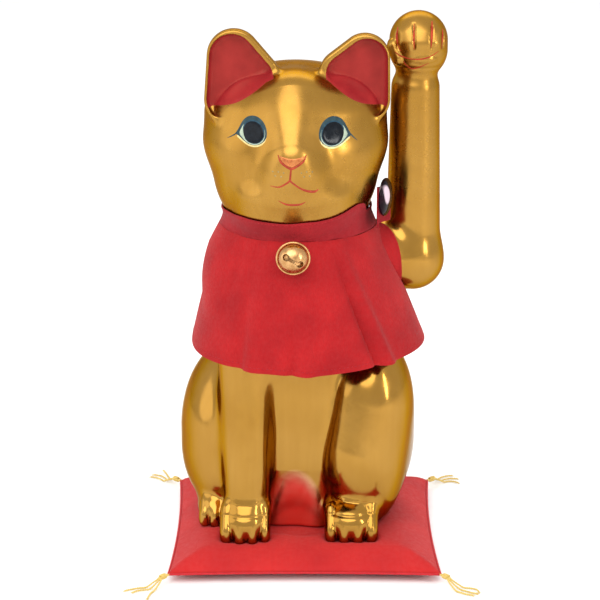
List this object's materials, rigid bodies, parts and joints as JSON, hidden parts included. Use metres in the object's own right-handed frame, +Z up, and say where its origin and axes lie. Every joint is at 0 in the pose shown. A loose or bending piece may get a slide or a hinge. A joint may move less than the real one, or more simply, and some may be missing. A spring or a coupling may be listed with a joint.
{
  "type": "beckoning cat figurine",
  "caption": "Sitting gold-plated ceramic cat with a raised paw, in a red cloth bib with a bell, resting on a square red cushion with corded corners.",
  "frame": {"origin": "centre of the box round the object without its tassel strands, on the surface the cushion stands on", "axes": "+Z up, the cat looks towards -Y, its raised paw is on +X"},
  "size_m": [0.3013, 0.317, 0.4715],
  "materials": {
    "gold_plate": "polished",
    "bib_cloth": "matte",
    "thread": "matte",
    "cushion_cloth": "satin",
    "cotton": "matte",
    "tassel_cord": "matte",
    "bell_gilt": "gloss",
    "pellet_steel": "satin",
    "button_gloss": "polished",
    "shank_metal": "satin",
    "stopper_rubber": "matte"
  },
  "bodies": {
    "cushion": {"cushion_top_panel": "cushion_cloth", "cushion_bottom_panel": "cushion_cloth", "cushion_filling": "cotton", "tassel_knot_front_left": "tassel_cord", "tassel_knot_front_right": "tassel_cord", "tassel_knot_back_left": "tassel_cord", "tassel_knot_back_right": "tassel_cord", "tassel_strand_front_left_1": "tassel_cord", "tassel_strand_front_left_2": "tassel_cord", "tassel_strand_front_left_3": "tassel_cord", "tassel_strand_front_right_1": "tassel_cord", "tassel_strand_front_right_2": "tassel_cord", "tassel_strand_front_right_3": "tassel_cord", "tassel_strand_back_left_1": "tassel_cord", "tassel_strand_back_left_2": "tassel_cord", "tassel_strand_back_left_3": "tassel_cord", "tassel_strand_back_right_1": "tassel_cord", "tassel_strand_back_right_2": "tassel_cord", "tassel_strand_back_right_3": "tassel_cord"},
    "figure": {"body_casting": "gold_plate", "raised_arm": "gold_plate", "bib_panel": "bib_cloth", "collar_band": "bib_cloth", "collar_flap": "bib_cloth", "bell_thread": "thread"},
    "bell": {"bell_front_shell": "bell_gilt", "bell_back_shell": "bell_gilt", "bell_girdle_ring": "bell_gilt", "bell_loop": "bell_gilt"},
    "pellet": {"bell_pellet": "pellet_steel"},
    "stopper": {"base_stopper": "stopper_rubber"},
    "button": {"collar_button": "button_gloss", "button_shank": "shank_metal"}
  },
  "joints": [
    {"name": "figure_lift", "type": "slide", "parent": "cushion", "child": "figure", "axis": [0, 0, 1], "range_m": [0, 0.06]},
    {"name": "bell_swing", "type": "hinge", "parent": "figure", "child": "bell", "pos_m": [-0.0096, -0.0727, 0.279], "axis": [-1, 0, 0], "range_deg": [0, 25]},
    {"name": "pellet_roll", "type": "slide", "parent": "bell", "child": "pellet", "axis": [0, 0, 1], "range_m": [0, 0.012]},
    {"name": "stopper_pull", "type": "slide", "parent": "figure", "child": "stopper", "axis": [0, 0, -1], "range_m": [0, 0.0068]},
    {"name": "button_turn", "type": "hinge", "parent": "figure", "child": "button", "pos_m": [0.0702, -0.024, 0.3175], "axis": [0.96, -0.28, 0], "range_deg": [-40, 40]}
  ]
}
